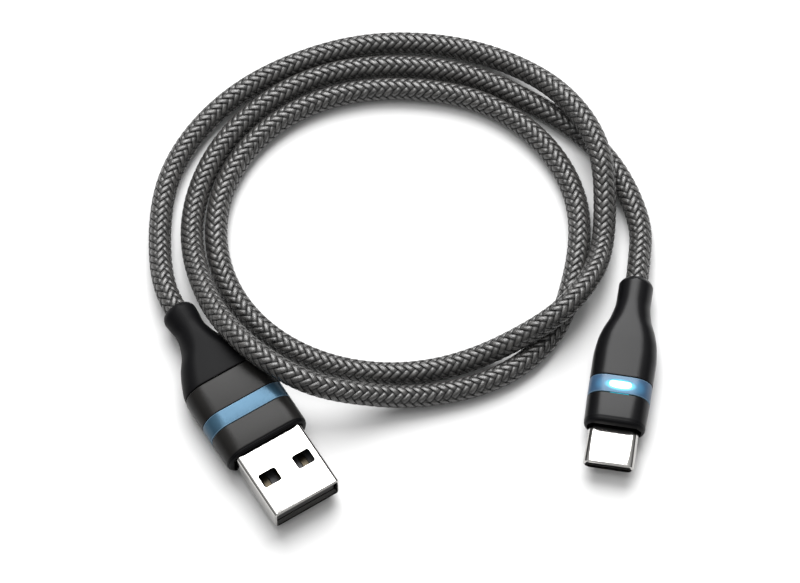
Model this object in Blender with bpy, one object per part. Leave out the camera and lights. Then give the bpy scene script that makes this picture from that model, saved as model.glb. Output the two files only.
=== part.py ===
"""A USB-A to USB-C charging cable with a braided jacket, lying in a loose coil of a little over two turns.

Every dimension is in millimetres and is scaled to metres as the meshes are made; +Z is up and z = 0 is the
surface that the cable lies on. Each plug has its own frame on an empty: the origin is the middle of the collar
that the cable enters, +X runs along the plug to its mouth, +Y is across it and +Z is up.
"""

import math

import bmesh
import bpy
import numpy as np

MM = 0.001

# The cable and the clearances.
CABLE_RADIUS = 1.9
CABLE_POINTS = 74
BORE = 4.3
WIRE_RADIUS = 0.4
BUNDLE = 0.55
OVERRUN = 1.0

# The two plugs: where the collar's centre is, the turn of the plug's axis about Z, and how far in the cable goes.
USB_A = {"collar": (-38.0, 16.0, 3.5), "turn": -58.0, "entry": 12.0}
USB_C = {"collar": (37.6, 21.45, 3.1), "turn": -99.3, "entry": 10.5}

# USB-A plug.
A_WIDTH = 14.9
A_HEIGHT = 7.0
A_CORNER = 3.2
A_CAVITY = (13.7, 5.9, 2.6)
A_BOOT_END = 15.2
A_BAND_START, A_BAND_END = 20.9, 23.7
A_SLEEVE_END = 29.1
A_MOUTH = 41.0
A_SHELL = (12.0, 4.5, 0.7)
A_SHELL_BORE = (11.4, 3.9, 0.4)
A_SHELL_START = 24.3
A_WINDOW = (2.6, 3.2, 1.5)
A_WINDOW_BACK = 6.2
A_WINDOW_SIDE = 3.15
A_TONGUE_TOP = -0.1
A_CONTACTS = {"vbus": -3.5, "data_minus": -1.0, "data_plus": 1.0, "ground": 3.5}
A_CONTACT_WIDTH, A_CONTACT_THICK = 1.0, 0.25

# USB-C plug.
C_CAVITY = (9.2, 5.3, 2.5)
C_BOOT_END = 18.7
C_BAND_START, C_BAND_END = 19.0, 22.0
C_SLEEVE_END = 27.3
C_MOUTH = 33.9
C_SHELL = (8.25, 2.4, 1.2)
C_SHELL_TAIL = (8.05, 2.3, 1.15)
C_SHELL_BORE = (7.65, 1.8, 0.9)
C_SHELL_START = 23.6
C_BOARD_TOP = 0.28
C_BOARD = (14.0, 25.6, 7.2)
C_PIN_PITCH = 0.5
C_PIN_WIDTH, C_PIN_THICK, C_PIN_FROM_MIDDLE = 0.25, 0.1, 0.33
C_UPPER_PINS = {"a1_ground": 1, "a4_vbus": 4, "a5_cc": 5, "a6_data_plus": 6, "a7_data_minus": 7, "a9_vbus": 9,
                "a12_ground": 12}
C_LOWER_PINS = {"b12_ground": 1, "b9_vbus": 4, "b4_vbus": 9, "b1_ground": 12}
LIGHT_WINDOW = (3.9, 1.35)

# Where the cable lies between the two collars: chosen by hand, closer together where it climbs over itself.
ROUTE = [
    (-39.3, 18.6, 3.3), (-40.5, 22.8, 2.7), (-41.2, 30.7, 1.95), (-40.2, 40.6, 1.95), (-35.6, 50.5, 1.95),
    (-28.1, 58.5, 1.95), (-18.7, 64.1, 1.95), (-8.2, 67.4, 1.95), (2.8, 67.8, 2.0), (12.6, 65.5, 2.5),
    (18.8, 62.2, 3.5), (23.4, 58.5, 4.7), (27.2, 54.1, 5.7), (30.3, 48.9, 6.05), (32.1, 43.2, 5.9),
    (32.6, 36.4, 4.4), (32.2, 29.6, 3.3), (30.9, 23.9, 4.4), (28.2, 18.7, 5.7), (24.3, 14.2, 6.05),
    (18.5, 10.7, 4.7), (11.4, 8.1, 2.4), (1.8, 5.6, 1.95), (-9.2, 5.9, 1.95), (-19.4, 9.9, 1.95),
    (-27.3, 17.3, 1.95), (-31.5, 27.4, 1.95), (-31.1, 38.2, 1.95), (-26.4, 48.0, 1.95), (-18.1, 55.1, 1.95),
    (-7.8, 58.6, 1.95), (3.1, 58.7, 1.95), (12.7, 56.2, 1.95), (20.8, 50.4, 1.95), (25.9, 43.2, 1.95),
    (28.2, 35.6, 1.95), (28.1, 27.6, 1.95), (26.7, 20.7, 1.95), (24.4, 14.2, 1.95), (20.2, 8.6, 1.95),
    (13.4, 4.1, 1.95), (5.8, 1.7, 2.1), (-1.2, 0.6, 3.0), (-7.1, 0.2, 4.7), (-12.0, 0.2, 6.4),
    (-16.7, 1.0, 7.9), (-21.0, 2.9, 8.9), (-25.0, 5.8, 9.1), (-28.5, 9.6, 8.4), (-31.5, 14.3, 6.9),
    (-33.7, 19.6, 5.3), (-35.2, 25.1, 3.8), (-35.9, 31.8, 2.5), (-35.0, 39.0, 1.95), (-30.7, 48.8, 1.95),
    (-23.2, 56.8, 1.95), (-13.4, 61.9, 1.95), (-3.6, 63.4, 1.95), (5.4, 62.8, 1.95), (13.0, 60.6, 1.95),
    (19.2, 57.3, 1.95), (25.0, 53.5, 1.95), (30.3, 49.0, 1.95), (34.5, 43.4, 1.95), (37.3, 37.0, 1.95),
    (38.5, 31.1, 2.0), (38.2, 26.5, 2.5),
]

# Colour, roughness and metallic value of each material.
FINISHES = {
    "braid": ((0.10, 0.10, 0.11), 0.85, 0.0),
    "boot_rubber": ((0.018, 0.018, 0.02), 0.6, 0.0),
    "sleeve_plastic": ((0.03, 0.032, 0.036), 0.42, 0.0),
    "blue_band": ((0.30, 0.52, 0.72), 0.4, 0.0),
    "light_band": ((0.12, 0.24, 0.36), 0.3, 0.0),
    "light_window": ((0.75, 0.95, 1.0), 0.3, 0.0),
    "nickel": ((0.72, 0.71, 0.69), 0.22, 1.0),
    "insulator": ((0.02, 0.02, 0.022), 0.5, 0.0),
    "contact_gold": ((0.83, 0.62, 0.28), 0.25, 1.0),
    "shield_steel": ((0.55, 0.55, 0.54), 0.35, 1.0),
    "inner_mould": ((0.80, 0.80, 0.76), 0.5, 0.0),
    "circuit_board": ((0.02, 0.16, 0.07), 0.45, 0.0),
    "chip": ((0.05, 0.05, 0.05), 0.4, 0.0),
    "red": ((0.55, 0.03, 0.03), 0.45, 0.0),
    "white": ((0.8, 0.8, 0.8), 0.45, 0.0),
    "green": ((0.03, 0.35, 0.08), 0.45, 0.0),
    "black": ((0.02, 0.02, 0.02), 0.45, 0.0),
}
WIRE_COLOURS = ("red", "white", "green", "black")


def clear_scene():
    for old in list(bpy.data.objects):
        bpy.data.objects.remove(old)


def collection(name):
    made = bpy.data.collections.new(name)
    bpy.context.scene.collection.children.link(made)
    return made


def material(name):
    """The named finish as a Principled material, made once and then shared."""
    if name in bpy.data.materials:
        return bpy.data.materials[name]
    colour, roughness, metallic = FINISHES[name]
    made = bpy.data.materials.new(name)
    made.use_nodes = True
    made.diffuse_color = (*colour, 1.0)
    shader = made.node_tree.nodes["Principled BSDF"]
    shader.inputs["Base Color"].default_value = (*colour, 1.0)
    shader.inputs["Roughness"].default_value = roughness
    shader.inputs["Metallic"].default_value = metallic
    return made


def plug_frame(name, plug):
    """An empty at the collar's centre, with +X along the plug."""
    empty = bpy.data.objects.new(name, None)
    empty.location = [value * MM for value in plug["collar"]]
    empty.rotation_euler = (0, 0, math.radians(plug["turn"]))
    parts.objects.link(empty)
    return empty


def add(name, mesh, finish, frame, location=(0, 0, 0)):
    """One sub-part in the plug's frame. Round surfaces are smooth and edges over 35 degrees stay sharp."""
    piece = bpy.data.objects.new(name, mesh)
    mesh.materials.append(material(finish))
    mesh.shade_smooth()
    mesh.set_sharp_from_angle(angle=math.radians(35))
    piece.location = [value * MM for value in location]
    piece.parent = frame
    parts.objects.link(piece)
    return piece


def section(width, height, corner, arc_points=6):
    """A rounded rectangle's points across the axis. Its flats lie exactly at half the width and half the height."""
    corner = min(corner, width / 2, height / 2)
    step = math.pi / 2 / arc_points
    reach = corner / math.cos(step / 2)
    points = []
    for quarter in range(4):
        middle = (quarter + 0.5) * math.pi / 2
        centre_y = math.copysign(width / 2 - corner, math.cos(middle))
        centre_z = math.copysign(height / 2 - corner, math.sin(middle))
        for k in range(arc_points):
            angle = quarter * math.pi / 2 + (k + 0.5) * step
            points.append((centre_y + reach * math.cos(angle), centre_z + reach * math.sin(angle)))
    return points


def loft_mesh(name, stations):
    """A closed body through sections along +X, each given as (x, width, height, corner radius)."""
    mesh = bpy.data.meshes.new(name)
    body = bmesh.new()
    rings = []
    for x, width, height, corner in stations:
        rings.append([body.verts.new((x * MM, y * MM, z * MM)) for y, z in section(width, height, corner)])
    count = len(rings[0])
    for back, front in zip(rings, rings[1:]):
        for k in range(count):
            after = (k + 1) % count
            body.faces.new((back[k], back[after], front[after], front[k]))
    body.faces.new(rings[0])
    body.faces.new(rings[-1])
    bmesh.ops.recalc_face_normals(body, faces=body.faces)
    body.to_mesh(mesh)
    body.free()
    return mesh


def loft(name, stations, finish, frame, location=(0, 0, 0)):
    return add(name, loft_mesh(name, stations), finish, frame, location)


def bar(start, end, shape):
    """The two stations of a straight bar of one section."""
    return [(start, *shape), (end, *shape)]


def box_mesh(name, length, width, height):
    mesh = bpy.data.meshes.new(name)
    body = bmesh.new()
    bmesh.ops.create_cube(body, size=1.0)
    bmesh.ops.scale(body, vec=(length * MM, width * MM, height * MM), verts=body.verts)
    body.to_mesh(mesh)
    body.free()
    return mesh


def box(name, span, middle_y, width, low, high, finish, frame):
    """A rectangular piece that spans span[0] to span[1] along the plug and low to high in height."""
    centre = ((span[0] + span[1]) / 2, middle_y, (low + high) / 2)
    return add(name, box_mesh(name, span[1] - span[0], width, high - low), finish, frame, centre)


def cut(piece, cutter):
    """Takes the cutter out of the piece. The cutter is a guide and isn't part of the object."""
    parts.objects.unlink(cutter)
    cutters.objects.link(cutter)
    cutter.hide_render = True
    cutter.display_type = "WIRE"
    boolean = piece.modifiers.new(cutter.name, "BOOLEAN")
    boolean.operation = "DIFFERENCE"
    boolean.object = cutter


def hollow(piece, stations, location=(0, 0, 0)):
    name = piece.name + "_hollow"
    cut(piece, loft(name, stations, piece.active_material.name, piece.parent, location))


def spline_through(points, spacing):
    """Points about spacing apart on the natural cubic spline through the given ones, ends included."""
    points = np.array(points, float)
    steps = np.linalg.norm(np.diff(points, axis=0), axis=1)
    matrix = np.zeros((len(points), len(points)))
    right = np.zeros(points.shape)
    matrix[0, 0] = matrix[-1, -1] = 1
    slopes = np.diff(points, axis=0) / steps[:, None]
    for i in range(1, len(points) - 1):
        matrix[i, i - 1 : i + 2] = steps[i - 1], 2 * (steps[i - 1] + steps[i]), steps[i]
        right[i] = 3 * (slopes[i] - slopes[i - 1])
    second = np.linalg.solve(matrix, right)
    fine = []
    for i, step in enumerate(steps):
        first = slopes[i] - step * (2 * second[i] + second[i + 1]) / 3
        third = (second[i + 1] - second[i]) / (3 * step)
        for t in np.linspace(0, step, 20, endpoint=False):
            fine.append(points[i] + first * t + second[i] * t**2 + third * t**3)
    fine = np.array(fine + [points[-1]])
    along = np.concatenate([[0], np.cumsum(np.linalg.norm(np.diff(fine, axis=0), axis=1))])
    wanted = np.linspace(0, along[-1], round(along[-1] / spacing) + 1)
    return np.stack([np.interp(wanted, along, fine[:, axis]) for axis in range(3)], axis=1)


def tube(name, points, radius, finish, frame):
    """A round tube along straight runs between the points, with closed ends, as a mesh."""
    curve = bpy.data.curves.new(name, "CURVE")
    curve.dimensions = "3D"
    curve.bevel_depth = radius * MM
    curve.bevel_resolution = 2
    curve.use_fill_caps = True
    spline = curve.splines.new("POLY")
    spline.points.add(len(points) - 1)
    for control, point in zip(spline.points, points):
        control.co = (*[value * MM for value in point], 1.0)
    guide = bpy.data.objects.new(name + "_guide", curve)
    parts.objects.link(guide)
    bpy.context.view_layer.update()
    mesh = bpy.data.meshes.new_from_object(guide.evaluated_get(bpy.context.evaluated_depsgraph_get()))
    bpy.data.objects.remove(guide)
    body = bmesh.new()
    body.from_mesh(mesh)
    bmesh.ops.remove_doubles(body, verts=body.verts, dist=1e-6)
    bmesh.ops.recalc_face_normals(body, faces=body.faces)
    body.to_mesh(mesh)
    body.free()
    mesh.materials.clear()
    return add(name, mesh, finish, frame)


def on_axis(plug, distance):
    """The point of the plug's axis this far in from its collar."""
    x, y, z = plug["collar"]
    turn = math.radians(plug["turn"])
    return (x + distance * math.cos(turn), y + distance * math.sin(turn), z)


def cable():
    """The whole cable, from inside one plug to inside the other, straight where a plug holds it."""
    fine = 0.5
    start = [on_axis(USB_A, inside) for inside in (USB_A["entry"], USB_A["entry"] / 2, 0)]
    end = [on_axis(USB_C, inside) for inside in (0, USB_C["entry"] / 2, USB_C["entry"])]
    run = spline_through([*start, *ROUTE, *end], fine)
    last = len(run) - 1
    free = np.linspace(USB_A["entry"] / fine, last - USB_C["entry"] / fine, CABLE_POINTS - 2)
    chosen = [0, *(round(place) for place in free), last]
    return tube("cable", run[chosen], CABLE_RADIUS, "braid", None)


def wires(prefix, frame, start, solder, end, row, height):
    """The four conductors: a square bundle where the cable ends, spread into a row where they are soldered."""
    corners = ((-BUNDLE, BUNDLE), (-BUNDLE, -BUNDLE), (BUNDLE, -BUNDLE), (BUNDLE, BUNDLE))
    for colour, corner, y in zip(WIRE_COLOURS, corners, row):
        points = [(start, *corner), (start + 0.6, *corner), (solder, y, height), (end, y, height)]
        tube(f"{prefix}_wire_{colour}", spline_through(points, 0.8), WIRE_RADIUS, colour, frame)


def usb_a_housing(frame):
    """Boot, rear sleeve, blue band and front sleeve: four moulded rings on the plug's axis."""
    boot = loft("usb_a_boot", [
        (0.0, 4.9, 4.9, 2.45), (0.3, 5.4, 5.4, 2.7), (1.0, 5.8, 5.8, 2.9), (2.6, 5.6, 5.6, 2.8),
        (4.2, 5.3, 5.3, 2.65), (6.0, 6.0, 5.5, 2.75), (7.8, 7.4, 5.9, 2.95), (10.4, 10.8, 6.5, 3.2),
        (13.2, 13.4, 6.9, 3.2), (14.5, 14.3, A_HEIGHT, A_CORNER), (A_BOOT_END, 14.4, A_HEIGHT, A_CORNER),
    ], "boot_rubber", frame)
    hollow(boot, [
        (-OVERRUN, BORE, BORE, BORE / 2), (9.4, BORE, BORE, BORE / 2), (9.5, 5.3, 5.3, 2.65),
        (12.3, 5.3, 5.3, 2.65), (16.2, *A_CAVITY),
    ])
    outer = (A_WIDTH, A_HEIGHT, A_CORNER)
    rear = loft("usb_a_rear_sleeve", bar(A_BOOT_END + 0.3, A_BAND_START - 0.3, outer), "sleeve_plastic", frame)
    hollow(rear, bar(A_BOOT_END - OVERRUN, A_BAND_START + OVERRUN, A_CAVITY))
    band = loft("usb_a_colour_band", bar(A_BAND_START, A_BAND_END, outer), "blue_band", frame)
    hollow(band, bar(A_BAND_START - OVERRUN, A_BAND_END + OVERRUN, A_CAVITY))
    front = loft("usb_a_front_sleeve", [
        (A_BAND_END + 0.3, *outer), (28.3, 14.8, 6.95, 3.15), (28.8, 14.5, 6.7, 3.0),
        (A_SLEEVE_END, 13.9, 6.1, 2.7),
    ], "sleeve_plastic", frame)
    hollow(front, [
        (A_BAND_END - OVERRUN, *A_CAVITY), (27.5, *A_CAVITY), (27.6, 12.6, 5.1, 1.0), (28.5, 12.6, 5.1, 1.0),
        (28.6, 13.1, 5.5, 1.3), (A_SLEEVE_END + OVERRUN, 13.1, 5.5, 1.3),
    ])


def usb_a_metalwork(frame):
    """The plug's shell with its four latch windows, and the shield that joins it to the cable's end."""
    shell = loft("usb_a_shell", bar(A_SHELL_START, A_MOUTH, A_SHELL), "nickel", frame)
    hollow(shell, bar(A_SHELL_START - OVERRUN, A_MOUTH + OVERRUN, A_SHELL_BORE))
    for side in (-1, 1):
        for face in (-1, 1):
            centre = (A_MOUTH - A_WINDOW_BACK, side * A_WINDOW_SIDE, face * A_SHELL[1] / 2)
            name = f"usb_a_window_{side}_{face}"
            cut(shell, add(name, box_mesh(name, *A_WINDOW), "nickel", frame, centre))
    shield = loft("usb_a_rear_shield", [
        (9.8, 4.8, 4.8, 2.4), (12.4, 4.8, 4.8, 2.4), (16.2, 13.0, 5.3, 2.2), (A_BAND_END, 13.0, 5.3, 2.2),
    ], "shield_steel", frame)
    hollow(shield, [
        (8.8, 4.2, 4.2, 2.1), (12.5, 4.2, 4.2, 2.1), (16.3, 12.4, 4.7, 1.9), (A_BAND_END + OVERRUN, 12.4, 4.7, 1.9),
    ])


def usb_a_core(frame):
    """The tongue with its four contacts, the moulding behind it, and the soldered conductors."""
    tongue_low = 0.2 - A_SHELL_BORE[1] / 2
    tongue_tall = A_TONGUE_TOP - tongue_low
    tongue = loft("usb_a_insulator", bar(24.6, 40.2, (10.9, tongue_tall, 0.3)), "insulator", frame,
                  (0, 0, tongue_low + tongue_tall / 2))
    for name, y in A_CONTACTS.items():
        groove = f"usb_a_groove_{name}"
        floor = A_TONGUE_TOP - A_CONTACT_THICK - 0.1
        cut(tongue, box(groove, (23.0, 39.8), y, A_CONTACT_WIDTH + 0.3, floor, 1.0, "insulator", frame))
        box(f"usb_a_contact_{name}", (18.0, 39.4), y, A_CONTACT_WIDTH, A_TONGUE_TOP - A_CONTACT_THICK,
            A_TONGUE_TOP, "contact_gold", frame)
    mould = loft("usb_a_inner_mould", bar(16.9, 23.4, (11.8, 4.1, 1.2)), "inner_mould", frame)
    hollow(mould, bar(15.9, 24.4, (9.4, 1.7, 0.5)), (0, 0, 0.2))
    wires("usb_a", frame, USB_A["entry"] + 0.4, 16.6, 19.4, A_CONTACTS.values(), A_TONGUE_TOP + 0.1 + WIRE_RADIUS)


def usb_c_housing(frame):
    """The tapered grip, the light band with its window, and the front sleeve."""
    boot = loft("usb_c_boot", [
        (0.0, 4.7, 4.7, 2.35), (0.3, 5.3, 5.3, 2.65), (0.8, 5.7, 5.7, 2.85), (4.0, 5.7, 5.7, 2.85),
        (7.0, 6.7, 5.9, 2.95), (9.6, 8.7, 6.1, 3.05), (12.0, 9.9, 6.2, 3.05), (15.0, 10.4, 6.2, 3.05),
        (C_BOOT_END, 10.35, 6.2, 3.05),
    ], "boot_rubber", frame)
    hollow(boot, [
        (-OVERRUN, BORE, BORE, BORE / 2), (8.1, BORE, BORE, BORE / 2), (8.2, 5.3, 5.3, 2.65),
        (11.1, 5.3, 5.3, 2.65), (13.0, *C_CAVITY), (C_BOOT_END + OVERRUN, *C_CAVITY),
    ])
    band = loft("usb_c_light_band", [
        (C_BAND_START, 10.35, 6.2, 3.05), (C_BAND_END, 10.3, 6.2, 3.05),
    ], "light_band", frame)
    hollow(band, bar(C_BAND_START - OVERRUN, C_BAND_END + OVERRUN, C_CAVITY))
    middle = (C_BAND_START + C_BAND_END) / 2
    across, along = LIGHT_WINDOW
    slot = loft("usb_c_window_slot", bar(2.0, 4.0, (across + 0.4, along + 0.4, 1.0)), "light_band", frame,
                (middle, 0, 0))
    slot.rotation_euler.y = -math.pi / 2
    cut(band, slot)
    window = loft("usb_c_light_window", bar(0.95, 3.1, (across, along, along / 2)), "light_window", frame,
                  (middle, 0, 0))
    window.rotation_euler.y = -math.pi / 2
    front = loft("usb_c_front_sleeve", [
        (C_BAND_END + 0.3, 10.3, 6.2, 3.05), (26.8, 10.0, 6.15, 3.0), (27.1, 9.7, 5.85, 2.9),
        (C_SLEEVE_END, 9.3, 5.4, 2.7),
    ], "boot_rubber", frame)
    hollow(front, [
        (C_BAND_END - OVERRUN, *C_CAVITY), (25.9, *C_CAVITY), (26.0, 8.65, 2.8, 1.4), (26.7, 8.65, 2.8, 1.4),
        (26.8, 8.9, 3.1, 1.5), (C_SLEEVE_END + OVERRUN, 8.9, 3.1, 1.5),
    ])


def usb_c_metalwork(frame):
    """The oval shell, a little slimmer where the sleeve holds it, the latch spring and the cable's ferrule."""
    shell = loft("usb_c_shell", [
        (C_SHELL_START, *C_SHELL_TAIL), (C_SLEEVE_END, *C_SHELL_TAIL), (C_SLEEVE_END + 0.15, *C_SHELL),
        (C_MOUTH - 0.35, *C_SHELL), (C_MOUTH - 0.1, 8.1, 2.25, 1.1), (C_MOUTH, 7.95, 2.1, 1.05),
    ], "nickel", frame)
    hollow(shell, bar(C_SHELL_START - OVERRUN, C_MOUTH + OVERRUN, C_SHELL_BORE))
    latch = box("usb_c_latch_spring", (26.3, 32.8), 0, 6.4, -0.15, 0.15, "shield_steel", frame)
    cut(latch, box("usb_c_latch_gap", (27.2, 34.0), 0, 6.0, -1.0, 1.0, "shield_steel", frame))
    ring = loft("usb_c_crimp_ring", bar(8.5, 11.1, (4.8, 4.8, 2.4)), "shield_steel", frame)
    hollow(ring, bar(7.5, 12.1, (4.2, 4.2, 2.1)))


def usb_c_core(frame):
    """The insulator and its two rows of contacts, the circuit board with its light and resistor, and the wires."""
    insulator = loft("usb_c_insulator", bar(26.0, C_MOUTH - 0.5, (7.3, 1.5, 0.75)), "insulator", frame)
    hollow(insulator, bar(25.0, C_MOUTH + OVERRUN, (6.7, 0.95, 0.3)))
    for side, pins in ((1, C_UPPER_PINS), (-1, C_LOWER_PINS)):
        near, far = C_PIN_FROM_MIDDLE, C_PIN_FROM_MIDDLE + C_PIN_THICK
        low, high = sorted((side * near, side * far))
        for name, place in pins.items():
            y = (place - 6.5) * C_PIN_PITCH
            box(f"usb_c_contact_{name}", (24.4, 33.0), y, C_PIN_WIDTH, low, high, "contact_gold", frame)
    start, end, width = C_BOARD
    box("usb_c_circuit_board", (start, end), 0, width, -C_BOARD_TOP, C_BOARD_TOP, "circuit_board", frame)
    light = (C_BAND_START + C_BAND_END) / 2
    on_board = C_BOARD_TOP + 0.05
    box("usb_c_led", (light - 0.4, light + 0.4), 0, 1.6, on_board, on_board + 0.5, "light_window", frame)
    box("usb_c_resistor", (17.3, 17.8), 2.2, 1.0, on_board, on_board + 0.35, "chip", frame)
    mould = loft("usb_c_inner_mould", [
        (11.6, 4.8, 4.7, 2.3), (13.5, 8.6, 4.7, 2.2), (18.4, 8.6, 4.7, 2.2),
    ], "inner_mould", frame)
    hollow(mould, [
        (11.0, 3.6, 3.2, 1.5), (12.8, 8.0, 3.0, 0.6), (19.4, 8.0, 3.0, 0.6),
    ])
    wires("usb_c", frame, USB_C["entry"] + 0.4, 13.4, 16.2, (-2.4, -0.8, 0.8, 2.4), on_board + 0.02 + WIRE_RADIUS)


def usb_a_plug():
    frame = plug_frame("usb_a_frame", USB_A)
    usb_a_housing(frame)
    usb_a_metalwork(frame)
    usb_a_core(frame)


def usb_c_plug():
    frame = plug_frame("usb_c_frame", USB_C)
    usb_c_housing(frame)
    usb_c_metalwork(frame)
    usb_c_core(frame)


clear_scene()
parts = collection("charging_cable")
cutters = collection("cutters")
cable()
usb_a_plug()
usb_c_plug()
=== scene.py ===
"""Looks of the braided USB-A to USB-C charging cable: woven jacket, plugs, soft studio light and camera.

Lengths in the tables and helpers are millimetres, scaled by MM to the frame's metres. A plug's own lengths
start at its collar, where the cable goes in. A section is a width, a height and a corner radius, and a
station is a distance along the plug with the section there.
"""
import math

import bpy
import numpy as np
from mathutils import Matrix, Vector


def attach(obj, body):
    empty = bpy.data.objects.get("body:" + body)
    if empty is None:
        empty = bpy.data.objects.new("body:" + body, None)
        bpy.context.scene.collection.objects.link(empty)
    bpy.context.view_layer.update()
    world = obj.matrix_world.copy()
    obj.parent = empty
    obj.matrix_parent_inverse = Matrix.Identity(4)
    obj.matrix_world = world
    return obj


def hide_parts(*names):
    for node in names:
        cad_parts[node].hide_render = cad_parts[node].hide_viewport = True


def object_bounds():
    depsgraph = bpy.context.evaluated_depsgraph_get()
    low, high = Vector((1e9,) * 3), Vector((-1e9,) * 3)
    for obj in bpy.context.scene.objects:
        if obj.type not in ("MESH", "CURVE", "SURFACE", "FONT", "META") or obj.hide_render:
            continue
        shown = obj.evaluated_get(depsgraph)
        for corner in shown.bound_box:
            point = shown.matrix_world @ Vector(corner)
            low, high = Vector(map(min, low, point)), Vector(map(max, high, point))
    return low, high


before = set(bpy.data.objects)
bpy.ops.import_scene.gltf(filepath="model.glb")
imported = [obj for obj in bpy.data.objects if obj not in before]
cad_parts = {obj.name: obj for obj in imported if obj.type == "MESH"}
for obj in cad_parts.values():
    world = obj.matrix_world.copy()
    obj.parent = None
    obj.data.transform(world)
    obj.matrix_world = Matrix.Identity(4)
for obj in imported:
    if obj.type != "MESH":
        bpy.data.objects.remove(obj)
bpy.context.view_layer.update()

MM = 0.001
TAU = 2 * math.pi
BODY = "root"

CAMERA_TARGET = (-1.4, 21.4, 0)
CAMERA_DISTANCE = 700
CAMERA_ELEVATION = math.radians(62.4)
CAMERA_LENS = 190.6
CAMERA_SENSOR = 36

# Each softbox: its place and its diameter in metres, and its power in watts.
SOFTBOXES = {
    "back_softbox": ((0.0, 0.52, 0.65), 0.78, 14.0),
    "top_softbox": ((-0.22, 0.02, 0.85), 0.40, 1.8),
}
SOFTBOX_AIM = (0, 0.02, 0)
# The room's grey in two directions: 0 is level and 1 is straight up.
ROOM_GREYS = ((0.15, 0.02), (0.9, 0.5))
ROOM_STRENGTH = 1.6
FLOOR_HALF = 1500
FLOOR_GREY = 0.60
FLOOR_ROUGHNESS = 0.8
FLOOR_GAP = 0.02

# The plugs as the CAD places them: collar centre, turn about Z in degrees, and the cable's depth inside.
USB_A = {"collar": (-38.0, 16.0, 3.5), "turn": -58.0, "entry": 12.0}
USB_C = {"collar": (37.6, 21.45, 3.1), "turn": -99.3, "entry": 10.5}

# The cable's route between the collars.
ROUTE = [
    (-39.3, 18.6, 3.3), (-40.5, 22.8, 2.7), (-41.2, 30.7, 1.95), (-40.2, 40.6, 1.95), (-35.6, 50.5, 1.95),
    (-28.1, 58.5, 1.95), (-18.7, 64.1, 1.95), (-8.2, 67.4, 1.95), (2.8, 67.8, 2.0), (12.6, 65.5, 2.5),
    (18.8, 62.2, 3.5), (23.4, 58.5, 4.7), (27.2, 54.1, 5.7), (30.3, 48.9, 6.05), (32.1, 43.2, 5.9),
    (32.6, 36.4, 4.4), (32.2, 29.6, 3.3), (30.9, 23.9, 4.4), (28.2, 18.7, 5.7), (24.3, 14.2, 6.05),
    (18.5, 10.7, 4.7), (11.4, 8.1, 2.4), (1.8, 5.6, 1.95), (-9.2, 5.9, 1.95), (-19.4, 9.9, 1.95),
    (-27.3, 17.3, 1.95), (-31.5, 27.4, 1.95), (-31.1, 38.2, 1.95), (-26.4, 48.0, 1.95), (-18.1, 55.1, 1.95),
    (-7.8, 58.6, 1.95), (3.1, 58.7, 1.95), (12.7, 56.2, 1.95), (20.8, 50.4, 1.95), (25.9, 43.2, 1.95),
    (28.2, 35.6, 1.95), (28.1, 27.6, 1.95), (26.7, 20.7, 1.95), (24.4, 14.2, 1.95), (20.2, 8.6, 1.95),
    (13.4, 4.1, 1.95), (5.8, 1.7, 2.1), (-1.2, 0.6, 3.0), (-7.1, 0.2, 4.7), (-12.0, 0.2, 6.4),
    (-16.7, 1.0, 7.9), (-21.0, 2.9, 8.9), (-25.0, 5.8, 9.1), (-28.5, 9.6, 8.4), (-31.5, 14.3, 6.9),
    (-33.7, 19.6, 5.3), (-35.2, 25.1, 3.8), (-35.9, 31.8, 2.5), (-35.0, 39.0, 1.95), (-30.7, 48.8, 1.95),
    (-23.2, 56.8, 1.95), (-13.4, 61.9, 1.95), (-3.6, 63.4, 1.95), (5.4, 62.8, 1.95), (13.0, 60.6, 1.95),
    (19.2, 57.3, 1.95), (25.0, 53.5, 1.95), (30.3, 49.0, 1.95), (34.5, 43.4, 1.95), (37.3, 37.0, 1.95),
    (38.5, 31.1, 2.0), (38.2, 26.5, 2.5),
]

# The centreline's samples: how many between two points of the route, and how far apart once evened out.
SPAN_SAMPLES = 60
LINE_SPACING = 0.1

# Braid: eight yarns each way, each over two and under two of the others.
CABLE_RADIUS = 1.9
YARNS = 8
YARNS_IN_PIECE = 4
CROSSING_PITCH = 1.4
LAY = YARNS * CROSSING_PITCH
TILT = math.atan2(TAU * CABLE_RADIUS, LAY)
YARN_WIDTH = 0.92 * TAU * CABLE_RADIUS / YARNS * math.cos(TILT)
YARN_THICK = 0.30
YARN_SWING = 0.13
YARN_MIDDLE = CABLE_RADIUS - YARN_SWING - YARN_THICK / 2
# A yarn's outline: half widths across it, and thicknesses outwards.
YARN_PROFILE = [(-1, -0.1), (-0.8, 0.42), (0, 0.5), (0.8, 0.42), (1, -0.1), (0, -0.45)]
STEPS_PER_CROSSING = 6
# One rise and dip spans four crossings and starts half a crossing late; its top and bottom are flattened.
WEAVE_CROSSINGS = 4
WEAVE_DELAY = 0.5
WEAVE_FLATNESS = 2.0
WEAVE_TURN = math.radians(-8)

CORE_RADIUS = 1.42
CORE_SIDES = 20
CORE_SPACING = 0.7

# The yarns lie apart in their map, across it and along it, so that no two have the same threads.
MAP_GAP = 4.0
MAP_SHIFT = 37.3
# How fine the threads and the changes of tone are, along a yarn and across it.
THREADS = (0.6, 12.0, 1.0)
STITCHES = (0.75, 0.25, 1.0)
YARN_RELIEF = 0.07
YARN_DARK = (0.003, 0.003, 0.003)
YARN_PALE = (0.070, 0.067, 0.064)
# A yarn has painted shade and is rough at its edges, which start this far from its middle, and is glossy
# where it shows.
YARN_EDGE = 0.37
YARN_ROUGHNESS = (0.85, 0.26)
CORE_DARK = (0.003, 0.003, 0.003)
CORE_PALE = (0.012, 0.012, 0.012)

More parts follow.
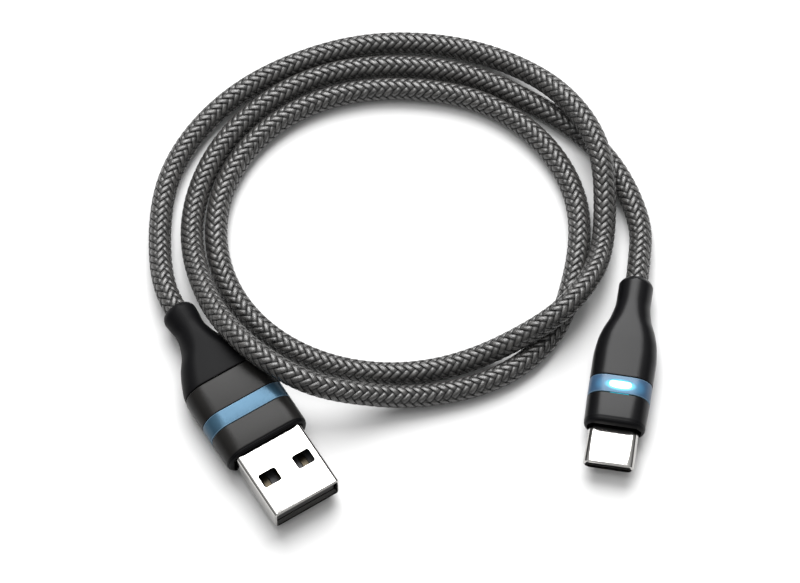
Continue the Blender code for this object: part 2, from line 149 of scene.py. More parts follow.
# USB-A plug.
A_COLLAR = [(1.2, 3.9, 3.9, 1.95), (0.15, 4.0, 4.0, 2.0), (0.0, 4.3, 4.3, 2.15), (0.0, 4.6, 4.6, 2.3)]
A_BOOT = [
    (0.25, 5.1, 5.1, 2.55), (1.0, 5.8, 5.8, 2.9), (2.6, 5.6, 5.6, 2.8), (4.2, 5.3, 5.3, 2.65),
    (6.0, 6.0, 5.5, 2.75), (7.8, 7.4, 5.9, 2.95), (10.4, 10.8, 6.5, 3.2), (13.2, 13.4, 6.9, 3.2),
    (14.5, 14.3, 7.0, 3.2), (15.2, 14.5, 7.0, 3.2),
]
A_BOOT_EDGE = 0.16
A_BOOT_HOLLOW = [(15.1, 12.6, 5.4, 2.5), (12.0, 8.2, 4.5, 2.2), (8.0, 4.4, 4.4, 2.2)]
A_SLEEVE = (14.9, 7.0, 3.2)
A_HOLLOW = (13.7, 5.9, 2.6)
A_REAR_SLEEVE = [(15.34, 14.72, 7.0, 3.2), (17.0, *A_SLEEVE), (20.82, *A_SLEEVE)]
A_REAR_EDGES = (0.16, 0.1)
A_REAR_HOLLOW = [(20.8, *A_HOLLOW), (15.4, *A_HOLLOW)]
A_BAND = [(20.9, *A_SLEEVE), (23.72, *A_SLEEVE)]
A_BAND_EDGES = (0.12, 0.12)
A_BAND_HOLLOW = [(23.6, *A_HOLLOW), (21.0, *A_HOLLOW)]
# Beyond these distances along the plug the band's rims carry a painted highlight.
A_BAND_RIMS = (21.03, 23.59)
A_LIP_AT = 28.42
A_FRONT_SLEEVE = [
    (23.8, *A_SLEEVE), (28.3, 14.8, 6.95, 3.2), (A_LIP_AT, 14.76, 6.9, 3.18),
    (28.5, 14.66, 6.8, 3.13), (28.7, 14.6, 6.72, 3.1), (29.1, 14.4, 6.5, 3.0),
]
A_FRONT_EDGES = (0.12, 0.42)
A_FRONT_HOLLOW = [
    (29.1, 13.1, 5.55, 1.9), (28.95, 12.7, 5.2, 1.4), (28.4, 12.55, 5.05, 1.2), (28.2, 12.1, 4.6, 0.75),
    (27.4, 12.1, 4.6, 0.75), (27.2, 13.6, 5.8, 2.5), (23.9, *A_HOLLOW),
]
A_SHELL = (12.0, 4.5, 0.7)
A_BORE = (11.4, 3.9, 0.4)
A_SHELL_REAR = [(24.3, *A_SHELL)]
A_SHELL_FRONT = 41.0
A_SHELL_EDGE = 0.13
# The latch windows: how far behind the shell's front, how far to each side, and the length, width and
# corner radius of each, above and below.
A_WINDOW_BACK = 6.2
A_WINDOW_SIDE = 3.15
A_WINDOW = (2.6, 3.2, 0.45)
A_WINDOW_HEIGHTS = ((1.0, 3.0), (-3.0, -1.0))

# USB-C plug.
C_COLLAR = [(1.2, 3.9, 3.9, 1.95), (0.15, 4.0, 4.0, 2.0), (0.0, 4.3, 4.3, 2.15), (0.0, 4.5, 4.5, 2.25)]
C_BOOT = [
    (0.25, 4.9, 4.9, 2.45), (0.9, 5.7, 5.7, 2.85), (4.0, 5.7, 5.7, 2.85), (7.0, 6.7, 5.9, 2.95),
    (9.6, 8.7, 6.1, 3.05), (12.0, 9.9, 6.2, 3.05), (15.0, 10.4, 6.2, 3.05), (18.86, 10.35, 6.2, 3.05),
]
C_BOOT_EDGE = 0.12
C_HOLLOW = (9.2, 5.3, 2.5)
C_BOOT_HOLLOW = [(18.8, *C_HOLLOW), (13.0, 8.9, 5.0, 2.4), (9.5, 6.8, 4.6, 2.2), (7.0, 4.6, 4.6, 2.3)]
C_SLEEVE = (10.3, 6.2, 3.05)
C_BAND = [(18.95, 10.35, 6.2, 3.05), (22.05, *C_SLEEVE)]
C_BAND_EDGES = (0.12, 0.12)
C_BAND_HOLLOW = [(21.9, *C_HOLLOW), (19.1, *C_HOLLOW)]
# Beyond these distances along the plug the band's rims carry a painted highlight.
C_BAND_RIMS = (19.1, 21.9)
C_LIP_AT = 26.35
C_FRONT_SLEEVE = [
    (22.15, *C_SLEEVE), (26.2, 10.08, 6.17, 3.04), (C_LIP_AT, 10.06, 6.16, 3.04),
    (26.45, 10.0, 6.1, 3.0), (26.8, 9.98, 6.06, 2.98), (27.3, 9.9, 5.95, 2.92),
]
C_FRONT_EDGES = (0.12, 0.5)
C_FRONT_HOLLOW = [
    (27.3, 9.0, 3.25, 1.6), (26.8, 8.85, 3.05, 1.5), (26.6, 8.4, 2.55, 1.25), (26.0, 8.4, 2.55, 1.25),
    (25.8, 9.1, 5.2, 2.45), (22.3, *C_HOLLOW),
]
C_SHELL = (8.25, 2.4, 1.2)
C_BORE = (7.65, 1.8, 0.9)
C_SHELL_REAR = [(23.6, 8.05, 2.3, 1.15), (27.3, 8.05, 2.3, 1.15), (27.45, *C_SHELL)]
C_SHELL_FRONT = 33.9
C_SHELL_EDGE = 0.14
# The light: its middle along the plug, the hole for its window and the window itself.
LIGHT_AT = 20.5
LIGHT_HOLE = (1.5, 4.05, 0.75)
LIGHT_HOLE_HEIGHTS = (1.0, 4.0)
WINDOW_LENGTH = 1.35
WINDOW_WIDTH = 3.9
# The window's rings from its foot up: how far each is inset, and its height.
WINDOW_RINGS = [(0.0, 1.0), (0.0, 2.98), (0.03, 3.05), (0.1, 3.09), (0.2, 3.1)]

SHARP_ANGLE = math.radians(34)

# A moulding's grain, its broader patches of tone, the spread of its roughness and the depth of its relief.
GRAIN_SCALE = 5200.0
PATCH_SCALE = 420.0
GLOSS_SPREAD = 0.06
RELIEF = 0.02

# The light's glow: its brightest place, how much a distance along the plug, across it and upwards counts,
# its strength, and its colours at distances from the brightest place.
GLOW_AT = (20.62, 0, 3.1)
GLOW_SHAPE = (1.0, 0.40, 1.0)
GLOW_STRENGTH = 1.6
BAND_GLOW = (
    (0.0, (0.1, 0.75, 0.9)), (0.75, (0.03, 0.45, 0.62)), (1.15, (0.006, 0.07, 0.12)), (2.0, (0, 0, 0)),
)
WINDOW_GLOW = (
    (0.0, (1, 1, 1)), (0.5, (0.95, 1, 1)), (0.75, (0.15, 0.8, 0.9)), (1.0, (0.03, 0.5, 0.65)),
)

# The finishes of the plugs' detailed pieces, by material name.
FINISHES = {
    "soft_black": {"colour": (0.004, 0.004, 0.0045), "roughness": 0.45, "grain": 0.25, "specular": 0.055},
    "satin_black": {"colour": (0.003, 0.003, 0.0035), "roughness": 0.32, "grain": 0.25, "specular": 0.17},
    "lip_black": {"colour": (0.003, 0.003, 0.0035), "roughness": 0.42, "grain": 0.15, "specular": 0.09},
    "charcoal_satin": {
        "colour": (0.009, 0.0085, 0.008), "roughness": 0.34, "grain": 0.5, "scale": 7000.0,
        "specular": 0.145,
    },
    "sky_blue_satin": {
        "colour": (0.034, 0.078, 0.120), "roughness": 0.32, "grain": 0.2, "metallic": 0.4, "specular": 0.2,
    },
    # Painted highlight: a lighter blue for the bands' rounded rims, where their edges catch the light.
    "painted_rim_highlight": {
        "colour": (0.11, 0.19, 0.27), "roughness": 0.34, "grain": 0.1, "metallic": 0.3, "specular": 0.25,
    },
    "blue_translucent": {"colour": (0.03, 0.068, 0.125), "roughness": 0.36, "grain": 0.1, "specular": 0.35},
    "lit_window": {"colour": (0.3, 0.5, 0.6), "roughness": 0.25, "grain": 0.1},
    "nickel_plate": {
        "colour": (0.50, 0.49, 0.475), "roughness": 0.12, "grain": 0.1, "metallic": 1.0, "uneven": 0.03,
    },
}

# One finish for each slot of the CAD's own pieces: colour, roughness, grain, metallic value.
CAD_FINISHES = {
    "insulator": ((0.016, 0.016, 0.017), 0.45, 0.4, 0.0),
    "contact_gold": ((0.83, 0.58, 0.24), 0.25, 0.1, 1.0),
    # Painted shade: the USB-A contacts' gold darkened to near black, as shaded inside the shell.
    "contact_painted_shade": ((0.05, 0.042, 0.03), 0.35, 0.1, 1.0),
    "shield_steel": ((0.55, 0.55, 0.54), 0.34, 0.2, 1.0),
    "inner_mould": ((0.62, 0.62, 0.58), 0.50, 0.3, 0.0),
    "circuit_board": ((0.01, 0.09, 0.035), 0.40, 0.3, 0.0),
    "chip": ((0.02, 0.02, 0.02), 0.45, 0.3, 0.0),
    "light_window": ((0.75, 0.9, 0.95), 0.25, 0.1, 0.0),
    "wire_red": ((0.55, 0.02, 0.02), 0.42, 0.2, 0.0),
    "wire_white": ((0.75, 0.75, 0.73), 0.42, 0.2, 0.0),
    "wire_green": ((0.02, 0.28, 0.06), 0.42, 0.2, 0.0),
    "wire_black": ((0.015, 0.015, 0.015), 0.42, 0.2, 0.0),
}


# ---------------------------------------------------------------- materials and meshes


def sockets(shader, **values):
    for name, value in values.items():
        shader.inputs[name.replace("_", " ")].default_value = value


def new_material(name, colour, roughness, metallic=0.0):
    made = bpy.data.materials.new(name)
    made.use_nodes = True
    shader = made.node_tree.nodes["Principled BSDF"]
    sockets(shader, Base_Color=(*colour, 1), Roughness=roughness, Metallic=metallic)
    return made, made.node_tree, shader


def node(tree, kind, inputs=None, **attributes):
    """A shader node with its attributes, and its inputs given as numbers or as other nodes' outputs."""
    made = tree.nodes.new(kind)
    for name, value in attributes.items():
        setattr(made, name, value)
    for name, value in (inputs or {}).items():
        if isinstance(value, bpy.types.NodeSocket):
            tree.links.new(value, made.inputs[name])
        else:
            made.inputs[name].default_value = value
    return made


def ramp(tree, factor, stops, interpolation="LINEAR"):
    """A colour that changes with the factor, through stops of a place and a colour."""
    made = node(tree, "ShaderNodeValToRGB", {"Fac": factor})
    made.color_ramp.interpolation = interpolation
    elements = made.color_ramp.elements
    while len(elements) < len(stops):
        elements.new(0.5)
    for element, (place, colour) in zip(elements, stops):
        element.position = place
        element.color = (*colour, 1)
    return made.outputs["Color"]


def bump(tree, height, strength, depth):
    relief = {"Height": height, "Strength": strength, "Distance": depth * MM}
    return node(tree, "ShaderNodeBump", relief).outputs["Normal"]


def plug_matrix(plug):
    place = Matrix.Translation(Vector(plug["collar"]) * MM)
    return place @ Matrix.Rotation(math.radians(plug["turn"]), 4, "Z")


def tube_faces(index):
    """Quads between the rows of a grid of vertex numbers, each row a ring, and a cap on each end."""
    after = np.roll(index, -1, axis=1)
    quads = np.stack([index[:-1], after[:-1], after[1:], index[1:]], axis=-1).reshape(-1, 4)
    return [*quads.tolist(), index[0, ::-1].tolist(), index[-1].tolist()]


def new_object(name, points, faces, plug=None, smooth_shaded=True):
    """A mesh object from points in millimetres, moved to the plug's place if they are along one."""
    mesh = bpy.data.meshes.new(name)
    mesh.from_pydata(np.reshape(points, (-1, 3)) * MM, [], faces)
    if plug:
        mesh.transform(plug_matrix(plug))
    if smooth_shaded:
        mesh.shade_smooth()
    made = bpy.data.objects.new(name, mesh)
    bpy.context.scene.collection.objects.link(made)
    return made


def settle(piece, slot, *replaced):
    """The piece rides on the one body and stands for the CAD nodes. The slot is not used."""
    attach(piece, BODY)
    if replaced:
        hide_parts(*replaced)
    return piece


# ---------------------------------------------------------------- camera, light and floor


def make_camera():
    """Looks along +Y and down at the coil, from as far away as the photograph's lens was."""
    camera = bpy.data.objects.new("camera", bpy.data.cameras.new("camera"))
    bpy.context.scene.collection.objects.link(camera)
    back = Vector((0, -math.cos(CAMERA_ELEVATION), math.sin(CAMERA_ELEVATION)))
    camera.location = Vector(CAMERA_TARGET) * MM + CAMERA_DISTANCE * MM * back
    camera.rotation_euler = (math.pi / 2 - CAMERA_ELEVATION, 0, 0)
    camera.data.lens = CAMERA_LENS
    camera.data.sensor_width = CAMERA_SENSOR
    camera.data.clip_start = 0.01
    bpy.context.scene.camera = camera


def make_floor():
    corners = [(x * FLOOR_HALF, y * FLOOR_HALF, 0) for x, y in ((-1, -1), (1, -1), (1, 1), (-1, 1))]
    floor = new_object("floor", corners, [[0, 1, 2, 3]], smooth_shaded=False)
    floor.location.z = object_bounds()[0][2] - FLOOR_GAP * MM
    floor.data.materials.append(new_material("floor", (FLOOR_GREY,) * 3, FLOOR_ROUGHNESS)[0])


def area_light(name, location, size, watts):
    data = bpy.data.lights.new(name, "AREA")
    data.shape = "DISK"
    data.size = size
    data.energy = watts
    lamp = bpy.data.objects.new(name, data)
    bpy.context.scene.collection.objects.link(lamp)
    lamp.location = location
    towards = Vector(SOFTBOX_AIM) - Vector(location)
    lamp.rotation_euler = towards.to_track_quat("-Z", "Y").to_euler()


def make_lights():
    """A wide softbox above and behind the coil, a smaller one higher up, and a room that is dim low down."""
    for name, (location, size, watts) in SOFTBOXES.items():
        area_light(name, location, size, watts)
    world = bpy.context.scene.world or bpy.data.worlds.new("world")
    bpy.context.scene.world = world
    world.use_nodes = True
    tree = world.node_tree
    direction = node(tree, "ShaderNodeTexCoord").outputs["Generated"]
    height = node(tree, "ShaderNodeSeparateXYZ", {"Vector": direction}).outputs["Z"]
    room = ramp(tree, height, [(place, (grey,) * 3) for place, grey in ROOM_GREYS])
    background = tree.nodes["Background"]
    tree.links.new(room, background.inputs["Color"])
    background.inputs["Strength"].default_value = ROOM_STRENGTH
    bpy.context.scene.view_settings.view_transform = "Standard"


# ---------------------------------------------------------------- the cable


class Line:
    """The cable's centreline as a natural cubic spline, with a frame that doesn't twist along it."""

    def __init__(self, points):
        fine = self.spline(np.array(points, float))
        steps = np.linalg.norm(np.diff(fine, axis=0), axis=1)
        along = np.concatenate([[0], np.cumsum(steps)])
        self.length = float(along[-1])
        self.at = np.linspace(0, self.length, round(self.length / LINE_SPACING) + 1)
        self.point = self.read(along, fine, self.at)
        self.tangent = self.unit(np.gradient(self.point, self.at, axis=0))
        self.normal = self.carried()
        self.side = np.cross(self.tangent, self.normal)

    @staticmethod
    def unit(vectors):
        return vectors / np.linalg.norm(vectors, axis=-1, keepdims=True)

    @staticmethod
    def read(along, values, at):
        return np.stack([np.interp(at, along, values[:, k]) for k in range(3)], axis=-1)

    @staticmethod
    def spline(points):
        steps = np.linalg.norm(np.diff(points, axis=0), axis=1)
        slopes = np.diff(points, axis=0) / steps[:, None]
        matrix = np.zeros((len(points), len(points)))
        right = np.zeros(points.shape)
        matrix[0, 0] = matrix[-1, -1] = 1
        for i in range(1, len(points) - 1):
            matrix[i, i - 1 : i + 2] = steps[i - 1], 2 * (steps[i - 1] + steps[i]), steps[i]
            right[i] = 3 * (slopes[i] - slopes[i - 1])
        second = np.linalg.solve(matrix, right)
        fine = []
        for i, step in enumerate(steps):
            first = slopes[i] - step * (2 * second[i] + second[i + 1]) / 3
            third = (second[i + 1] - second[i]) / (3 * step)
            t = np.linspace(0, step, SPAN_SAMPLES, endpoint=False)[:, None]
            fine.append(points[i] + first * t + second[i] * t**2 + third * t**3)
        return np.concatenate([*fine, points[-1:]])

    def carried(self):
        """Each step's normal is the last one's, with its part along the new tangent taken away."""
        normal = np.zeros(self.point.shape)
        current = np.array([0.0, 0.0, 1.0])
        for k, tangent in enumerate(self.tangent):
            current = current - tangent * current.dot(tangent)
            current /= np.linalg.norm(current)
            normal[k] = current
        return normal

    def place(self, at, angle, radius):
        """Points round the line, from arrays of the distance along it, the angle round it and the radius."""
        centre = self.read(self.at, self.point, at)
        normal = self.read(self.at, self.normal, at)
        side = self.read(self.at, self.side, at)
        spoke = np.cos(angle)[..., None] * normal + np.sin(angle)[..., None] * side
        return centre + radius[..., None] * self.unit(spoke)


def on_axis(plug, distance):
    return tuple(plug_matrix(plug) @ Vector((distance * MM, 0, 0)) / MM)


def yarn_grid(line, hand, number):
    """One flat yarn: a helix that rises over two yarns of the other hand and dips under two.

    Returns its points as a grid, rows along it and columns round it, then the place of each along the yarn,
    across it, and how far it has risen, from -1 to 1.
    """
    steps = round(line.length / CROSSING_PITCH * STEPS_PER_CROSSING)
    start = np.linspace(0, line.length, steps + 1)[:, None]
    across, outwards = (np.array(values, float)[None, :] for values in zip(*YARN_PROFILE))
    across = across * YARN_WIDTH / 2
    at = np.clip(start - hand * across * math.sin(TILT), 0, line.length)
    angle = hand * TAU * start / LAY + TAU * number / YARNS + across * math.cos(TILT) / CABLE_RADIUS
    crossed = YARNS * (angle / TAU + hand * at / LAY)
    wave = hand * np.cos(TAU * (number + crossed - WEAVE_DELAY) / WEAVE_CROSSINGS)
    lift = np.tanh(WEAVE_FLATNESS * wave) / math.tanh(WEAVE_FLATNESS)
    radius = YARN_MIDDLE + YARN_SWING * lift + YARN_THICK * outwards
    return line.place(at, angle + WEAVE_TURN, radius), start / math.cos(TILT), across, lift


def yarn_object(name, grids):
    """Several yarns as one mesh, with a map of the places along and across each for its threads."""
    rows, columns = grids[0][0].shape[:2]
    index = np.arange(len(grids) * rows * columns).reshape(len(grids), rows, columns)
    faces = [face for numbers in index for face in tube_faces(numbers)]
    made = new_object(name, [points for points, _, _, _ in grids], faces)
    mesh = made.data
    weave = np.empty((len(grids), rows, columns, 2), np.float32)
    for k, (_, along, across, _) in enumerate(grids):
        weave[k, ..., 0] = along + MAP_SHIFT * k
        weave[k, ..., 1] = across + MAP_GAP * k
    corners = np.empty(len(mesh.loops), np.int32)
    mesh.loops.foreach_get("vertex_index", corners)
    mesh.uv_layers.new(name="weave").data.foreach_set("uv", weave.reshape(-1, 2)[corners].ravel())
    lifts = np.array([lift for _, _, _, lift in grids], np.float32)
    mesh.attributes.new("lift", "FLOAT", "POINT").data.foreach_set("value", lifts.ravel())
    return made


def braid_material():
    """Grey filament yarn: fine threads along it, tones that change from stitch to stitch, and painted shade
    at its edges and where it dips under the other yarns.
    """
    made, tree, shader = new_material("braid_yarn", YARN_PALE, 0.36)
    sockets(shader, Specular_IOR_Level=0.85)
    weave = node(tree, "ShaderNodeUVMap", uv_map="weave").outputs["UV"]
    threads = node(tree, "ShaderNodeMapping", {"Vector": weave, "Scale": THREADS}).outputs[0]
    fine = node(
        tree, "ShaderNodeTexNoise", {"Vector": threads, "Scale": 1.0, "Detail": 3.0, "Roughness": 0.6},
    ).outputs["Fac"]
    stitches = node(tree, "ShaderNodeMapping", {"Vector": weave, "Scale": STITCHES}).outputs[0]
    broad = node(
        tree, "ShaderNodeTexNoise", {"Vector": stitches, "Scale": 1.0, "Detail": 1.0},
    ).outputs["Fac"]
    both = node(tree, "ShaderNodeMix", {"Factor": 0.5, "A": fine, "B": broad}).outputs["Result"]
    tone = ramp(tree, both, [(0.36, YARN_DARK), (0.66, YARN_PALE)])
    across = node(tree, "ShaderNodeSeparateXYZ", {"Vector": weave}).outputs["Y"]
    off_middle = node(tree, "ShaderNodeMath", {0: across, 1: MAP_GAP / 2}, operation="PINGPONG").outputs[0]
    # Painted shade: the yarn darkens towards its edges, where it meets its neighbours.
    inner = node(
        tree, "ShaderNodeMapRange",
        {
            "Value": off_middle, "From Min": YARN_EDGE, "From Max": YARN_WIDTH / 2,
            "To Min": 1.0, "To Max": 0.05,
        },
        interpolation_type="SMOOTHSTEP",
    ).outputs["Result"]
    # Painted shade: the yarn darkens where it dips under the other hand's yarns.
    lift = node(tree, "ShaderNodeAttribute", attribute_name="lift").outputs["Fac"]
    risen = node(
        tree, "ShaderNodeMapRange",
        {"Value": lift, "From Min": 0.2, "From Max": 0.8, "To Min": 0.05, "To Max": 1.0},
        interpolation_type="SMOOTHSTEP",
    ).outputs["Result"]
    # Both painted shades together, darkening the tone; the same mask sets the roughness below.
    shown = node(tree, "ShaderNodeMath", {0: inner, 1: risen}, operation="MULTIPLY").outputs[0]
    painted_shade_tone = node(tree, "ShaderNodeVectorMath", {0: tone, "Scale": shown}, operation="SCALE")
    tree.links.new(painted_shade_tone.outputs["Vector"], shader.inputs["Base Color"])
    rough, glossy = YARN_ROUGHNESS
    gloss = node(tree, "ShaderNodeMapRange", {"Value": shown, "To Min": rough, "To Max": glossy})
    tree.links.new(gloss.outputs["Result"], shader.inputs["Roughness"])
    tree.links.new(bump(tree, fine, 0.7, YARN_RELIEF), shader.inputs["Normal"])
    return made


def core_material():
    """The near-black jacket that shows between the yarns."""
    made, tree, shader = new_material("braid_gap", (0.006, 0.006, 0.006), 0.8)
    grain = node(tree, "ShaderNodeTexNoise", {"Scale": 2500.0, "Detail": 2.0}).outputs["Fac"]
    tree.links.new(ramp(tree, grain, [(0, CORE_DARK), (1, CORE_PALE)]), shader.inputs["Base Color"])
    return made


def make_cable():
    """The dark core that stands for the cable, the yarns round it in four pieces, and the path of both."""
    start = [on_axis(USB_A, USB_A["entry"] * share) for share in (1, 0.5, 0)]
    end = [on_axis(USB_C, USB_C["entry"] * share) for share in (0, 0.5, 1)]
    line = Line([*start, *ROUTE, *end])
    at = np.linspace(0, line.length, round(line.length / CORE_SPACING) + 1)
    turns = np.linspace(0, TAU, CORE_SIDES, endpoint=False)
    rings = line.place(*np.broadcast_arrays(at[:, None], turns[None, :], CORE_RADIUS))
    index = np.arange(len(at) * CORE_SIDES).reshape(len(at), CORE_SIDES)
    core = new_object("cable_core", rings, tube_faces(index))
    core.data.materials.append(core_material())
    settle(core, "braid", "cable")
    woven = braid_material()
    yarns = []
    for hand, side in ((1, "right"), (-1, "left")):
        for part in range(YARNS // YARNS_IN_PIECE):
            numbers = range(part * YARNS_IN_PIECE, (part + 1) * YARNS_IN_PIECE)
            grids = [yarn_grid(line, hand, number) for number in numbers]
            made = yarn_object(f"braid_yarns_{side}_{part + 1}", grids)
            made.data.materials.append(woven)
            yarns.append(settle(made, "braid"))
    return core, yarns, line.read(line.at, line.point, at)


# ---------------------------------------------------------------- shapes of the plugs' pieces


def section(width, height, corner, arc_points=9):
    """Points round a rounded rectangle, from the right side's top corner anticlockwise."""
    points = []
    for quarter in range(4):
        centre_y = (width / 2 - corner) * (1 if quarter in (0, 3) else -1)
        centre_z = (height / 2 - corner) * (1 if quarter in (0, 1) else -1)
        for turn in np.linspace(quarter, quarter + 1, arc_points) * math.pi / 2:
            points.append((centre_y + corner * math.cos(turn), centre_z + corner * math.sin(turn)))
    return points


def smooth(stations, spacing=0.3):
    """Stations about spacing apart on a curve through the given ones that never overshoots them."""
    known = np.array(stations, float)
    at, values = known[:, 0], known[:, 1:]
    slopes = np.diff(values, axis=0) / np.diff(at)[:, None]
    before, after = slopes[:-1], slopes[1:]
    same = before * after > 0
    middle = np.where(same, 2 * before * after / np.where(same, before + after, 1), 0)
    ends = np.concatenate([slopes[:1], middle, slopes[-1:]])
    made = []
    for i, step in enumerate(np.diff(at)):
        for t in np.linspace(0, 1, max(2, round(step / spacing)), endpoint=False):
            value = (
                (1 + 2 * t) * (1 - t) ** 2 * values[i] + t * t * (3 - 2 * t) * values[i + 1]
                + step * t * (1 - t) * ((1 - t) * ends[i] - t * ends[i + 1])
            )
            made.append((at[i] + t * step, *value))
    return [*made, tuple(known[-1])]


def round_off(station, radius, towards, steps=5):
    """Stations that round an end off, from the full section to one smaller by the radius all round."""
    place, width, height, corner = station
    made = []
    for turn in np.linspace(0, math.pi / 2, steps):
        inset = radius * (1 - math.cos(turn))
        back = radius * (1 - math.sin(turn))
        smaller = (width - 2 * inset, height - 2 * inset, max(corner - inset, 0.05))
        made.append((place - towards * back, *smaller))
    return made


def boot(collar, outside, edge, hollow):
    """Stations of a boot: from inside its collar over its smooth outside, round its edge and back inside."""
    profile = smooth(outside)
    return [*collar, *profile[:-1], *round_off(profile[-1], edge, 1), *hollow]


def sleeve(outside, edges, hollow):
    """Stations of a sleeve: its rounded rear edge, its outside, its front edge and the way back inside."""
    rear_edge, front_edge = edges
    start = round_off(outside[0], rear_edge, -1)[::-1]
    end = round_off(outside[-1], front_edge, 1)
    return [*start, *outside[1:-1], *end, *hollow]


def shell(rear, front, outer, bore, edge):
    """Stations of a shell: forward over its outside, round its mouth's edge and back through its bore."""
    mouth = round_off((front, *outer), edge, 1)
    inside = round_off((front, *bore), -edge, 1)[::-1]
    return [*rear, *mouth, *inside, (rear[0][0], *bore)]


def ring_object(name, stations, plug, slot, *replaced):
    """A closed skin through every station and back to the first, at the plug's place."""
    rings = np.array([[(place, *point) for point in section(*shape)] for place, *shape in stations])
    index = np.arange(rings.shape[0] * rings.shape[1]).reshape(rings.shape[:2])
    beside = np.roll(index, -1, axis=1)
    ahead = np.roll(index, -1, axis=0)
    both = np.roll(ahead, -1, axis=1)
    faces = np.stack([index, beside, both, ahead], axis=-1).reshape(-1, 4).tolist()
    made = new_object(name, rings, faces, plug)
    made.data.set_sharp_from_angle(angle=SHARP_ANGLE)
    return settle(made, slot, *replaced)


def upright_block(plug, along, across, heights, outline):
    """A cutter that stands up through a wall; its outline is a length, a width and a corner radius."""
    ring = [(along + x, across + y) for x, y in section(*outline, 6)]
    points = [(x, y, z) for z in heights for x, y in ring]
    index = np.arange(len(points)).reshape(2, len(ring))
    return new_object("block", points, tube_faces(index), plug, smooth_shaded=False)


def cut_away(piece, cutters):
    """Cuts the shapes out of the piece for good."""
    for cutter in cutters:
        tool = piece.modifiers.new("cut", "BOOLEAN")
        tool.operation = "DIFFERENCE"
        tool.solver = "EXACT"
        tool.object = cutter
    bpy.context.view_layer.update()
    graph = bpy.context.evaluated_depsgraph_get()
    mesh = bpy.data.meshes.new_from_object(piece.evaluated_get(graph))
    piece.modifiers.clear()
    old = piece.data
    piece.data = mesh
    bpy.data.meshes.remove(old)
    for cutter in cutters:
        bpy.data.objects.remove(cutter)


def light_window():
    """The light's window: a pill of clear plastic flush with the band's top, its edge rounded."""
    points = []
    for inset, height in WINDOW_RINGS:
        # A hair under half the length, so that no two points of the outline meet.
        corner = WINDOW_LENGTH / 2 - inset - 0.001
        outline = section(WINDOW_LENGTH - 2 * inset, WINDOW_WIDTH - 2 * inset, corner)
        points += [(LIGHT_AT + x, y, height) for x, y in outline]
    index = np.arange(len(points)).reshape(len(WINDOW_RINGS), -1)
    made = new_object("c_light_window", points, tube_faces(index), USB_C)
    return settle(made, "light_window", "usb_c_light_window")


# ---------------------------------------------------------------- finishes


def moulded(name, colour, roughness, grain, metallic=0.0, scale=GRAIN_SCALE, uneven=0.12, specular=0.5):
    """Moulded plastic or plated metal: a fine grain in its relief, a slightly uneven colour and gloss."""
    made, tree, shader = new_material(name, colour, roughness, metallic)
    sockets(shader, Specular_IOR_Level=specular)
    place = node(tree, "ShaderNodeTexCoord").outputs["Object"]
    fine = node(tree, "ShaderNodeTexNoise", {"Vector": place, "Scale": scale, "Detail": 3.0}).outputs["Fac"]
    broad = node(tree, "ShaderNodeTexNoise", {"Vector": place, "Scale": PATCH_SCALE, "Detail": 4.0})
    darker = tuple(c * (1 - uneven) for c in colour)
    lighter = tuple(min(1, c * (1 + uneven)) for c in colour)
    tone = ramp(tree, broad.outputs["Fac"], [(0, darker), (1, lighter)])
    tree.links.new(tone, shader.inputs["Base Color"])
    gloss = node(
        tree, "ShaderNodeMapRange",
        {"Value": fine, "To Min": roughness - GLOSS_SPREAD, "To Max": roughness + GLOSS_SPREAD},
    )
    tree.links.new(gloss.outputs["Result"], shader.inputs["Roughness"])
    tree.links.new(bump(tree, fine, grain, RELIEF), shader.inputs["Normal"])
    return made


def add_glow(made, stops):
    """Adds the light's glow: its colour at each distance from the brightest place, in millimetres."""
    tree = made.node_tree
    shader = tree.nodes["Principled BSDF"]
    collar = tuple(v * MM for v in USB_C["collar"])
    brightest = tuple(v * MM for v in GLOW_AT)
    along_plug = node(
        tree, "ShaderNodeMapping",
        {
            "Vector": node(tree, "ShaderNodeTexCoord").outputs["Object"], "Location": collar,
            "Rotation": (0, 0, math.radians(USB_C["turn"])),
        },
        vector_type="TEXTURE",
    ).outputs["Vector"]
    offset = node(
        tree, "ShaderNodeVectorMath", {0: along_plug, 1: brightest}, operation="SUBTRACT",
    ).outputs[0]
    shaped = node(tree, "ShaderNodeVectorMath", {0: offset, 1: GLOW_SHAPE}, operation="MULTIPLY").outputs[0]
    away = node(tree, "ShaderNodeVectorMath", {0: shaped}, operation="LENGTH").outputs["Value"]
    furthest = stops[-1][0]
    share = node(tree, "ShaderNodeMath", {0: away, 1: furthest * MM}, operation="DIVIDE").outputs[0]
    glow = ramp(tree, share, [(distance / furthest, colour) for distance, colour in stops], "EASE")
    tree.links.new(glow, shader.inputs["Emission Color"])
    sockets(shader, Emission_Strength=GLOW_STRENGTH)


def paint(piece, made):
    piece.data.materials.clear()
    piece.data.materials.append(made)


def paint_ends(piece, made, plug, low, high):
    """Gives a second finish to every face that lies outside two distances along the piece's plug."""
    piece.data.materials.append(made)
    to_plug = plug_matrix(plug).inverted()
    for face in piece.data.polygons:
        if not low * MM < (to_plug @ face.center).x < high * MM:
            face.material_index = 1


def make_finishes():
    finishes = {name: moulded(name, **values) for name, values in FINISHES.items()}
    add_glow(finishes["blue_translucent"], BAND_GLOW)
    add_glow(finishes["lit_window"], WINDOW_GLOW)
    return finishes


def finish_cad_nodes():
    """Every CAD node that stays in view gets its slot's procedural finish; the USB-A contacts get a painted
    shade instead of their gold.
    """
    ready = {slot: moulded("cad_" + slot, *values) for slot, values in CAD_FINISHES.items()}
    for name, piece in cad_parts.items():
        for place in piece.material_slots:
            slot = place.material.name.split(".")[0]
            # The USB-A contacts take the painted-shade finish in place of their gold.
            if name.startswith("usb_a_contact"):
                slot = "contact_painted_shade"
            place.link = "OBJECT"
            place.material = ready.get(slot, ready["chip"])


# ---------------------------------------------------------------- the plugs


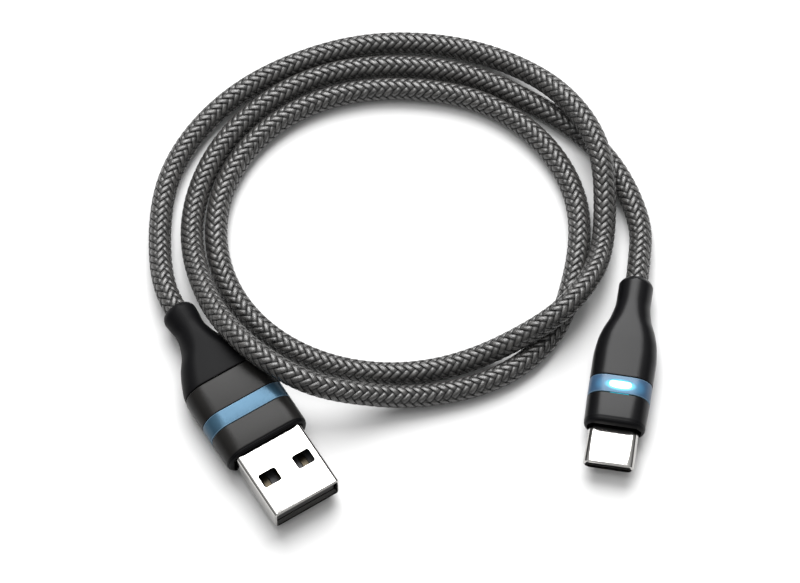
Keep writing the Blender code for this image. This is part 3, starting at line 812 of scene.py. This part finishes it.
def make_usb_a(finishes):
    """The square plug: soft boot, two charcoal sleeves with a blue band between, and the nickel shell."""
    stations = boot(A_COLLAR, A_BOOT, A_BOOT_EDGE, A_BOOT_HOLLOW)
    paint(ring_object("a_boot", stations, USB_A, "boot_rubber", "usb_a_boot"), finishes["soft_black"])

    stations = sleeve(A_REAR_SLEEVE, A_REAR_EDGES, A_REAR_HOLLOW)
    rear = ring_object("a_rear_sleeve", stations, USB_A, "sleeve_plastic", "usb_a_rear_sleeve")
    paint(rear, finishes["charcoal_satin"])

    stations = sleeve(A_BAND, A_BAND_EDGES, A_BAND_HOLLOW)
    band = ring_object("a_colour_band", stations, USB_A, "blue_band", "usb_a_colour_band")
    paint(band, finishes["sky_blue_satin"])
    # The band's rims get a painted highlight.
    paint_ends(band, finishes["painted_rim_highlight"], USB_A, *A_BAND_RIMS)

    stations = sleeve(A_FRONT_SLEEVE, A_FRONT_EDGES, A_FRONT_HOLLOW)
    front = ring_object("a_front_sleeve", stations, USB_A, "sleeve_plastic", "usb_a_front_sleeve")
    paint(front, finishes["charcoal_satin"])
    paint_ends(front, finishes["lip_black"], USB_A, 0, A_LIP_AT)

    stations = shell(A_SHELL_REAR, A_SHELL_FRONT, A_SHELL, A_BORE, A_SHELL_EDGE)
    tube = ring_object("a_shell", stations, USB_A, "nickel", "usb_a_shell")
    window_at = A_SHELL_FRONT - A_WINDOW_BACK
    cut_away(tube, [
        upright_block(USB_A, window_at, side * A_WINDOW_SIDE, heights, A_WINDOW)
        for side in (-1, 1) for heights in A_WINDOW_HEIGHTS
    ])
    paint(tube, finishes["nickel_plate"])


def make_usb_c(finishes):
    """The oval plug: one tapered boot, the lit band and its window, the front sleeve and the shell."""
    stations = boot(C_COLLAR, C_BOOT, C_BOOT_EDGE, C_BOOT_HOLLOW)
    grip = ring_object("c_boot", stations, USB_C, "boot_rubber", "usb_c_boot")
    paint(grip, finishes["satin_black"])

    stations = sleeve(C_BAND, C_BAND_EDGES, C_BAND_HOLLOW)
    band = ring_object("c_light_band", stations, USB_C, "light_band", "usb_c_light_band")
    cut_away(band, [upright_block(USB_C, LIGHT_AT, 0, LIGHT_HOLE_HEIGHTS, LIGHT_HOLE)])
    paint(band, finishes["blue_translucent"])
    # The band's rims get a painted highlight.
    paint_ends(band, finishes["painted_rim_highlight"], USB_C, *C_BAND_RIMS)

    stations = sleeve(C_FRONT_SLEEVE, C_FRONT_EDGES, C_FRONT_HOLLOW)
    front = ring_object("c_front_sleeve", stations, USB_C, "boot_rubber", "usb_c_front_sleeve")
    paint(front, finishes["satin_black"])
    paint_ends(front, finishes["lip_black"], USB_C, 0, C_LIP_AT)

    stations = shell(C_SHELL_REAR, C_SHELL_FRONT, C_SHELL, C_BORE, C_SHELL_EDGE)
    tube = ring_object("c_shell", stations, USB_C, "nickel", "usb_c_shell")
    paint(tube, finishes["nickel_plate"])

    window = light_window()
    paint(window, finishes["lit_window"])
    return [grip, band, front, tube, window]


# ---------------------------------------------------------------- the scene


make_camera()
core, yarns, centre = make_cable()
finish_cad_nodes()
finishes = make_finishes()
make_usb_a(finishes)
far_pieces = make_usb_c(finishes)
make_floor()
make_lights()
